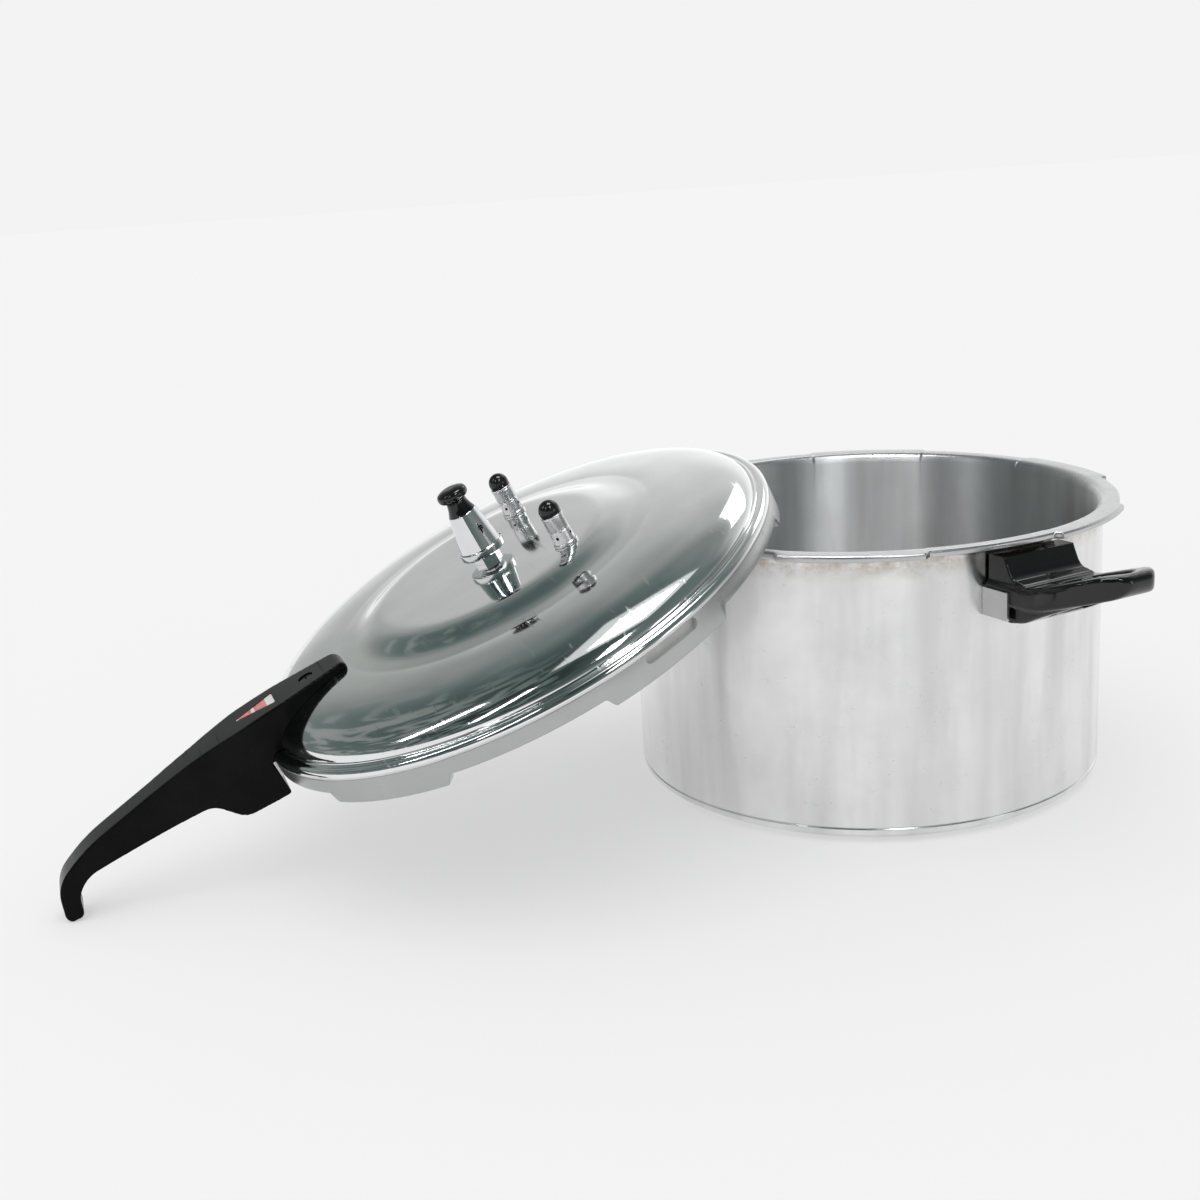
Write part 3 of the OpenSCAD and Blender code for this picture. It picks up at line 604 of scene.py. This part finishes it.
def handle_half_width(extra):
    """Plan of the handle as (distance from the lid's axis, width each side), widened by extra."""
    corners = [(97, 9 + extra), (101, 12.5 + extra), (112, 14.2 + extra), (136, 17.6 + extra),
               (163, 18 + extra), (192, 12.2 + extra * 0.6), (218, 10 + extra * 0.4),
               (282, 9.6 + extra * 0.4), (291, 8 + extra * 0.4)]
    near = [(s, -w, 0 if i in (0, len(corners) - 1) else 4) for i, (s, w) in enumerate(corners)]
    far = [(s, w, cut) for s, w, cut in ((s, -w, cut) for s, w, cut in reversed(near))]
    return rounded(near + far, 5)


HANDLE_SIDE = [
    (97, 16, 0), (97, 41, 4), (172, 41, 34), (262, 27.4, 20), (284.5, 17.5, 11), (290.4, -0.5, 3.5),
    (289.0, -3.9, 1.6), (281.5, -4.2, 2.4), (277.5, 7.5, 5), (268, 13.4, 6), (236, 12.6, 10),
    (196, 10.2, 5), (184.5, -4.5, 5), (157.3, -4.5, 1), (157.3, 16, 0),
]


def make_lid_handle():
    turned_round = LID @ Matrix.Rotation(math.pi, 4, "Z")
    upright = turned_round @ Matrix.Rotation(math.pi / 2, 4, "X")
    side = rounded(HANDLE_SIDE, 6)
    body = prism("lid_handle_fine", side, side, -26, 26, upright)
    plan = prism("plan", handle_half_width(1.2), handle_half_width(-1.2), -12, 48, turned_round)
    combine(body, [plan], "INTERSECT")
    body.data.transform(upright)
    body.matrix_world = Matrix.Identity(4)
    mould(body, 0.55, 9)
    body.data.transform(turned_round.inverted())
    body.matrix_world = turned_round
    under = [(0, -30), (LID_R + 0.2, -30), (LID_R + 0.2, SKIRT_H)]
    under += arc(LID_R - BEAD_R, SKIRT_H, BEAD_R + 0.2, BEAD_R + 0.2, 4, 90, 10)
    under += [(r, z + 0.15) for r, z in OUTER_DOME[1:]]
    cutters = [
        lathe("under_cutter", under, turned_round, 256),
        rod("recess_cutter", 4.4, 38.4, 60, turned_round @ Matrix.Translation((SCREW_S * MM, 0, 0))),
        rod("bore_cutter", SCREW_BORE_R, 10, 60, turned_round @ Matrix.Translation((SCREW_S * MM, 0, 0))),
    ]
    label = rounded([(139, -8.5, 1.5), (163.5, 0, 1.2), (139, 8.5, 1.5)], 5)
    cutters.append(prism("label_cutter", label, label, 39.8, 60, turned_round))
    combine(body, cutters, crease=40)
    body.name = "lid_handle_fine"

    def face_kind(at, normal):
        return 1 if normal.z > 0.93 and at.z > 20 else 0

    finish_piece(body, "lid", "black_bakelite", ["lid_handle"], handle_black, satin_black, rule=face_kind)


def make_label():
    start, length, width = 139.3, 23.4, 16.2
    corners = rounded([(-start, width / 2, 1), (-start - length, 0, 0.8), (-start, -width / 2, 1)], 4)
    piece = prism("label_fine", corners, corners, 39.8, 40.6, LID)
    bevel = piece.modifiers.new("bevel", "BEVEL")
    bevel.width, bevel.segments, bevel.limit_method = 0.15 * MM, 2, "ANGLE"
    apply_modifiers(piece)
    finish_mesh(piece)
    finish_piece(piece, "lid", "label", ["handle_label"], label_print("label_print", start, length))


make_lid_handle()
make_label()

# ---------- Regulator weight, valves and vent ----------

WEIGHT_Z, WEIGHT_H, WEIGHT_R, FOOT_H = 48.4, 26, 13, 4.2
WEIGHT_TOP = WEIGHT_Z + WEIGHT_H
CONE_TOP_R = 8.2
SEAT_Z = 66.0


def radial_cutters(place, r, z, azimuths, reach):
    """Rods that point outwards at height z."""
    return [rod("radial_cutter", r, 0, reach, place @ Matrix.Translation((0, 0, z * MM))
                @ Matrix.Rotation(math.radians(a), 4, "Z") @ Matrix.Rotation(math.pi / 2, 4, "Y"), 32)
            for a in azimuths]


def make_weight():
    foot_top = WEIGHT_Z + FOOT_H
    corners = [
        (5, WEIGHT_Z, 0.4), (WEIGHT_R, WEIGHT_Z, 0.7), (WEIGHT_R, foot_top, 0.5),
        (WEIGHT_R - 1.1, foot_top + 0.3, 0.3),
        (CONE_TOP_R, WEIGHT_TOP, 0.5), (3, WEIGHT_TOP, 0.2), (3, SEAT_Z, 0.2), (5, SEAT_Z, 0.3),
    ]
    piece = lathe("weight", rounded(corners, 5), LID)
    combine(piece, radial_cutters(LID, 1.5, SEAT_Z - 2, (170, 290, 50), 20))
    finish_piece(piece, "weight", "chrome", ["weight_body"], chromed)
    knob = [
        (0, WEIGHT_TOP + 0.05, 0), (CONE_TOP_R - 0.4, WEIGHT_TOP + 0.05, 0.4),
        (CONE_TOP_R - 1.7, WEIGHT_TOP + 3.2, 1),
        (5.4, WEIGHT_TOP + 7.6, 1.4), (8.6, WEIGHT_TOP + 9.2, 1.5), (8.9, WEIGHT_TOP + 13.2, 2.2),
        (4.5, WEIGHT_TOP + 15, 2), (0, WEIGHT_TOP + 15, 0),
    ]
    piece = lathe("weight_knob_fine", rounded(knob, 7), LID)
    finish_piece(piece, "weight", "black_bakelite", ["weight_knob"], gloss_black)


def make_valve(letter, side):
    at = LID @ Matrix.Translation((VALVE_X * MM, side * VALVE_Y * MM, 0))
    foot, top, r, bore = 32.9, DISC_Z + 18, 5.9, 4.2
    housing = [
        (2, foot, 0.3), (4.95, foot, 0.4), (4.95, DISC_Z, 0.05), (r + 1, DISC_Z, 0.2),
        (r + 1, DISC_Z + 1.5, 0.3), (r, DISC_Z + 1.7, 0.15), (r, DISC_Z + 8.4, 0.2),
        (r - 0.35, DISC_Z + 8.7, 0.1), (r - 0.35, DISC_Z + 9.5, 0.1), (r, DISC_Z + 9.8, 0.2),
        (r, top - 1.6, 0.15), (r + 0.3, top - 1.3, 0.15), (r + 0.3, top, 0.35),
        (1.56, top, 0.2), (1.56, top - 3, 0.2), (bore, top - 3, 0.3), (bore, foot + 5, 0.3),
        (2, foot + 5, 0.2),
    ]
    piece = lathe(f"valve_{letter}_body", rounded(housing, 4), at, 96)
    combine(piece, radial_cutters(at, 0.9, DISC_Z + 5.6, (45, 135, 225, 315), 12))
    turned = aluminium(f"turned_{letter}", (0.72, 0.72, 0.73, 1), 0.20, 0.4, haze=0.08, frame_in=at)
    finish_piece(piece, "lid", "valve_aluminium", [f"valve_{letter}_housing"], turned)
    ball_z, ball_r = top + 2.33, 5.8
    low = top + 0.3
    start = math.degrees(math.asin((low - ball_z) / ball_r))
    ball = [(0, low), (3, low)] + arc(0, ball_z, ball_r, ball_r, start, 90, 24)
    piece = lathe(f"valve_{letter}_ball", ball, at, 96)
    finish_piece(piece, f"valve_{letter}", "black_rubber", [f"valve_{letter}_cap"], ball_rubber)


make_weight()
make_valve("a", 1)
make_valve("b", -1)

# ---------- Pot handles ----------

HELPER_AZ = -82.6
BLOCK_TOP, BLOCK_BOTTOM = 158.6, 124.6


def rim_cutter(place):
    """What a handle's block has to keep clear of: the wall with its bracket, and the flange above."""
    r = POT_R + 1.8
    top = BLOCK_TOP + 0.1
    return lathe("rim_cutter", [(0, -20), (r, -20), (r, top), (170, top), (170, 190), (0, 190)], place, 360)


def make_helper_handle():
    place = Matrix.Rotation(math.radians(HELPER_AZ), 4, "Z")
    upright = place @ Matrix.Rotation(math.pi / 2, 4, "X")
    block_side = rounded([(134, BLOCK_BOTTOM, 0), (162, BLOCK_BOTTOM, 7), (171, 136, 5), (168, 146, 4),
                          (157, 148, 3), (150, 161, 2), (134, 161, 0)], 6)
    block = prism("helper_block", block_side, block_side, -24, 24, upright)
    loop_side = rounded([(134, 134.5, 0), (172, 133.5, 8), (218.5, 148.4, 6), (221.6, 159.2, 6),
                         (211, 159.2, 6),
                         (168, 145.2, 8), (134, 144.8, 0)], 6)
    loop = prism("helper_loop", loop_side, loop_side, -30, 30, upright)
    plan = [(130, -26), *arc(177, 0, 45, 26, -90, 90, 32), (130, 26)]
    combine(loop, [prism("plan", plan, plan, 100, 180, place)], "INTERSECT")
    web_side = rounded([(150, BLOCK_BOTTOM, 0), (162, BLOCK_BOTTOM, 5), (176, 131.8, 7), (200, 142.5, 6),
                        (206, 148, 2), (150, 140, 0)], 6)
    web = prism("helper_web", web_side, web_side, -30, 30, upright)
    narrow = [(130, -23.5), *arc(177, 0, 37, 23.5, -90, 90, 32), (130, 23.5)]
    combine(web, [prism("plan", narrow, narrow, 100, 180, place)], "INTERSECT")
    hole = arc(188, 0, 23.5, 14.2, -90, 90, 20) + arc(184, 0, 12, 14.2, 90, 270, 14)
    for part in (loop, web):
        combine(part, [prism("finger_cutter", hole, hole, 100, 180, place)])
    for part in (block, loop, web):
        part.data.transform(part.matrix_world)
        part.matrix_world = Matrix.Identity(4)
    mould(loop, 0.8, 34)
    mould(web, 0.8, 20)
    body = joined("helper_handle_fine", [block, loop, web])
    mould(body, 0.6, 8)
    cutters = [rim_cutter(place)]
    for y in (-12, 12):
        at = (place @ Matrix.Translation((0, y * MM, (BLOCK_BOTTOM + 9) * MM))
              @ Matrix.Rotation(math.pi / 2, 4, "Y"))
        cutters += [rod("screw_cutter", SCREW_HEAD_R, 156, 200, at),
                    rod("bore_cutter", SCREW_BORE_R, 130, 200, at)]
    combine(body, cutters, crease=40)
    body.name = "helper_handle_fine"
    finish_piece(body, "pot", "black_bakelite", ["helper_handle"], gloss_black)


def make_lower_handle():
    place = Matrix.Rotation(math.radians(HELPER_AZ + 180), 4, "Z")
    upright = place @ Matrix.Rotation(math.pi / 2, 4, "X")
    side = rounded([(134, BLOCK_BOTTOM, 0), (170, BLOCK_BOTTOM + 1, 8), (184, 132.8, 6), (250, 132.6, 8),
                    (262, 134, 5), (262, 148.5, 6), (250, 151, 6), (184, 152, 8), (162, 154, 6),
                    (152, 161, 3), (134, 161, 0)], 6)
    body = prism("lower_handle_fine", side, side, -26, 26, upright)
    near = [(130, -15, 0), (168, -15, 8), (190, -12, 8), (252, -12, 10)]
    plan = rounded(near + [(262, 0, 6)] + [(s, -w, cut) for s, w, cut in reversed(near)], 6)
    combine(body, [prism("plan", plan, plan, 100, 180, place)], "INTERSECT")
    body.data.transform(upright)
    body.matrix_world = Matrix.Identity(4)
    mould(body, 0.7, 10)
    at = place @ Matrix.Translation((154 * MM, 0, 0))
    cutters = [rim_cutter(place), rod("screw_cutter", SCREW_HEAD_R, 110, 132.6, at),
               rod("bore_cutter", SCREW_BORE_R, 110, 152, at)]
    combine(body, cutters, crease=40)
    body.name = "lower_handle_fine"
    finish_piece(body, "pot", "black_bakelite", ["lower_handle"], gloss_black)


make_helper_handle()
make_lower_handle()

# ---------- Hardware that keeps its CAD mesh ----------

HARDWARE = {
    steely: ["helper_bracket", "helper_screws", "lower_bracket", "lower_screws", "lid_bracket",
             "nose_nut", "block_screws", "vent_nut", "vent_filter", "valve_a_nut", "valve_b_nut",
             "valve_a_spring", "valve_b_spring", "valve_a_plunger", "valve_b_plunger", "weight_core"],
    chromed: ["vent_pipe"],
    painted_shade_steel: ["nose_screw"],
    seal_rubber: ["sealing_ring"],
    dark_rubber: ["vent_washer", "valve_a_washer", "valve_b_washer"],
}


def dress(node, made):
    """Gives a CAD node its material and softens its edges without changing its mesh."""
    piece = frame["nodes"][node]
    for slot in piece.material_slots:
        slot.material = made
    if "spring" in node:
        return
    weld = piece.modifiers.new("weld", "WELD")
    weld.merge_threshold = 1e-6
    bevel = piece.modifiers.new("bevel", "BEVEL")
    bevel.width, bevel.segments, bevel.limit_method = 0.18 * MM, 2, "ANGLE"
    bevel.angle_limit = math.radians(40)
    bevel.harden_normals = True


for made, nodes in HARDWARE.items():
    for node in nodes:
        dress(node, made)

# ---------- Studio ----------

FLOOR_GREY = 0.896
FLOOR_GLOW = 0.46  # the part of the floor's light that no shadow takes away
SOFT_LIGHT = 0.80


def make_floor():
    half = 60.0
    mesh = bpy.data.meshes.new("studio_floor")
    mesh.from_pydata([(-half, -half, 0), (half, -half, 0), (half, half, 0), (-half, half, 0)], [],
                     [(0, 1, 2, 3)])
    floor = bpy.data.objects.new("studio_floor", mesh)
    bpy.context.scene.collection.objects.link(floor)
    s = Surface("studio_paper", Roughness=1.0, Specular_IOR_Level=0.0, Emission_Color=(1, 1, 1, 1),
                Emission_Strength=FLOOR_GLOW)
    s.set("Base Color", s.mix(s.noise(s.place, 3.0), (0.438, 0.438, 0.438, 1), (0.444, 0.444, 0.444, 1)))
    mesh.materials.append(s.made)


def make_world():
    """A pale room for the camera and for soft light.

    What shines sees another room: pale and low behind the object, darker with height and to the left,
    with the loose shapes of leaves there, and darkest behind the camera.
    """
    world = bpy.data.worlds.new("studio")
    bpy.context.scene.world = world
    world.use_nodes = True
    tree = world.node_tree
    tree.nodes.clear()

    def add(kind, inputs=(), **settings):
        made = tree.nodes.new(kind)
        for key, value in settings.items():
            setattr(made, key, value)
        for key, value in dict(inputs).items():
            if isinstance(value, bpy.types.NodeSocket):
                tree.links.new(value, made.inputs[key])
            else:
                made.inputs[key].default_value = value
        return made

    def ramp(value, stops):
        made = add("ShaderNodeValToRGB", {"Fac": value})
        made.color_ramp.interpolation = "EASE"
        while len(made.color_ramp.elements) < len(stops):
            made.color_ramp.elements.new(0.5)
        for element, (at, color) in zip(made.color_ramp.elements, stops):
            element.position, element.color = at, (*color, 1)
        return made.outputs["Color"]

    def grey(share):
        return share, share, share

    def product(a, b):
        return add("ShaderNodeMath", {0: a, 1: b}, operation="MULTIPLY").outputs[0]

    way = add("ShaderNodeTexCoord").outputs["Generated"]
    x, y, z = add("ShaderNodeSeparateXYZ", {0: way}).outputs
    behind = ramp(z, [(0.0, grey(0.75)), (0.28, grey(0.60)), (0.52, grey(0.42)), (0.72, grey(0.30)),
                      (0.86, grey(0.16)), (1.0, grey(0.10))])
    before = ramp(z, [(0.0, grey(0.30)), (0.25, grey(0.16)), (0.6, grey(0.10)), (1.0, grey(0.10))])
    across = add("ShaderNodeMapRange", {"Value": x, "From Min": -1.0, "From Max": 1.0}).outputs["Result"]
    slope = ramp(across, [(0.10, grey(0.14)), (0.28, grey(0.20)), (0.42, grey(0.42)), (0.50, grey(0.60)),
                          (0.60, grey(0.90)), (0.75, grey(1.0))])
    side = add("ShaderNodeMapRange", {"Value": y, "From Min": -0.25, "From Max": 0.25},
               interpolation_type="SMOOTHSTEP").outputs["Result"]
    level = add("ShaderNodeMix", {0: side, 6: before, 7: behind}, data_type="RGBA").outputs[2]
    level = product(product(level, slope), 1.66)
    warp = add("ShaderNodeTexNoise", {"Vector": way, "Scale": 5.0, "Detail": 6.0, "Distortion": 1.5})
    leaf = add("ShaderNodeMapRange", {"Value": warp.outputs["Fac"], "From Min": 0.50, "From Max": 0.54})
    leafy = add("ShaderNodeMapRange", {"Value": across, "From Min": 0.38, "From Max": 0.24})
    leaves = product(product(leaf.outputs["Result"], leafy.outputs["Result"]), 0.14)
    level = add("ShaderNodeMath", {0: leaves, 1: level}, operation="ADD").outputs[0]
    tint = ramp(level, [(0.0, (0.62, 1.0, 0.98)), (0.10, (0.74, 1.0, 0.98)), (0.30, (0.94, 1.0, 0.97)),
                        (0.60, (0.99, 1.0, 0.99))])
    room = add("ShaderNodeMix", {0: 1.0, 6: tint, 7: level}, data_type="RGBA",
               blend_type="MULTIPLY").outputs[2]
    path = add("ShaderNodeLightPath").outputs
    pale = add("ShaderNodeBackground", {"Color": (1, 1, 1, 1), "Strength": FLOOR_GREY})
    soft = add("ShaderNodeBackground", {"Color": (1, 1, 1, 1), "Strength": SOFT_LIGHT})
    shine = add("ShaderNodeBackground", {"Color": room, "Strength": 1.0})
    plain = add("ShaderNodeMixShader", {0: path["Is Camera Ray"], 1: soft.outputs[0], 2: pale.outputs[0]})
    whole = add("ShaderNodeMixShader", {0: path["Is Glossy Ray"], 1: plain.outputs[0], 2: shine.outputs[0]})
    add("ShaderNodeOutputWorld", {"Surface": whole.outputs[0]})


def make_light(name, kind, energy, at, towards, size=(1, 1), shine_only=False, matt_only=False, **settings):
    data = bpy.data.lights.new(name, kind)
    data.energy = energy
    if kind == "AREA":
        data.shape, data.size, data.size_y = "RECTANGLE", *size
    for key, value in settings.items():
        setattr(data, key, value)
    light = bpy.data.objects.new(name, data)
    bpy.context.scene.collection.objects.link(light)
    light.location = at
    light.rotation_mode = "QUATERNION"
    light.rotation_quaternion = (Vector(towards) - Vector(at)).to_track_quat("-Z", "Y")
    light.visible_diffuse = not shine_only
    light.visible_glossy = not matt_only
    return light


def make_camera():
    """A 45 mm lens, a little above the cooker and to the left of its front."""
    at = Vector((-0.4504, -0.78503, 0.35585))
    yaw, pitch, roll = 0.34147, 0.2690, -0.0660
    ahead = Vector((math.sin(yaw) * math.cos(pitch), math.cos(yaw) * math.cos(pitch), -math.sin(pitch)))
    right = Vector((math.cos(yaw), -math.sin(yaw), 0))
    up = right.cross(ahead)
    tilted_right = right * math.cos(roll) + up * math.sin(roll)
    tilted_up = up * math.cos(roll) - right * math.sin(roll)
    data = bpy.data.cameras.new("camera")
    data.sensor_width, data.lens = 36, 45.0
    data.clip_start, data.clip_end = 0.01, 200
    camera = bpy.data.objects.new("camera", data)
    bpy.context.scene.collection.objects.link(camera)
    turn = Matrix((tilted_right, tilted_up, -ahead)).transposed().to_4x4()
    camera.matrix_world = Matrix.Translation(at) @ turn
    bpy.context.scene.camera = camera


# Soft boxes that only what shines can see: name, watts, place from the object's middle, and size.
SHINE_BOXES = [
    ("top_core", 9.0, (-0.08, -0.12, 1.6), (0.62, 0.50)),
    ("top_halo", 1.9, (-0.08, -0.12, 1.65), (1.15, 0.85)),
    ("front_box", 11.0, (-0.12, -1.7, 1.75), (0.36, 0.8)),
    ("left_strip", 2.6, (-1.3, -0.8, 1.1), (0.07, 0.9)),
    ("far_left_strip", 2.6, (-1.5, 0.12, 1.1), (0.07, 0.9)),
    ("right_box", 2.6, (1.05, 0.85, 1.3), (0.8, 0.6)),
    ("low_box", 1.6, (1.2, -1.6, 0.42), (0.5, 0.5)),
]


def make_studio():
    make_floor()
    make_world()
    low, high = cad_box
    middle = (low + high) / 2
    make_light("sky", "SUN", 0.75, middle + Vector((-0.3, -0.5, 1.6)), middle, matt_only=True,
               angle=math.radians(60))
    for name, watts, away, size in SHINE_BOXES:
        make_light(name, "AREA", watts, middle + Vector(away), middle, size, shine_only=True)
    bpy.context.scene.view_settings.view_transform = "Standard"


make_camera()
make_studio()
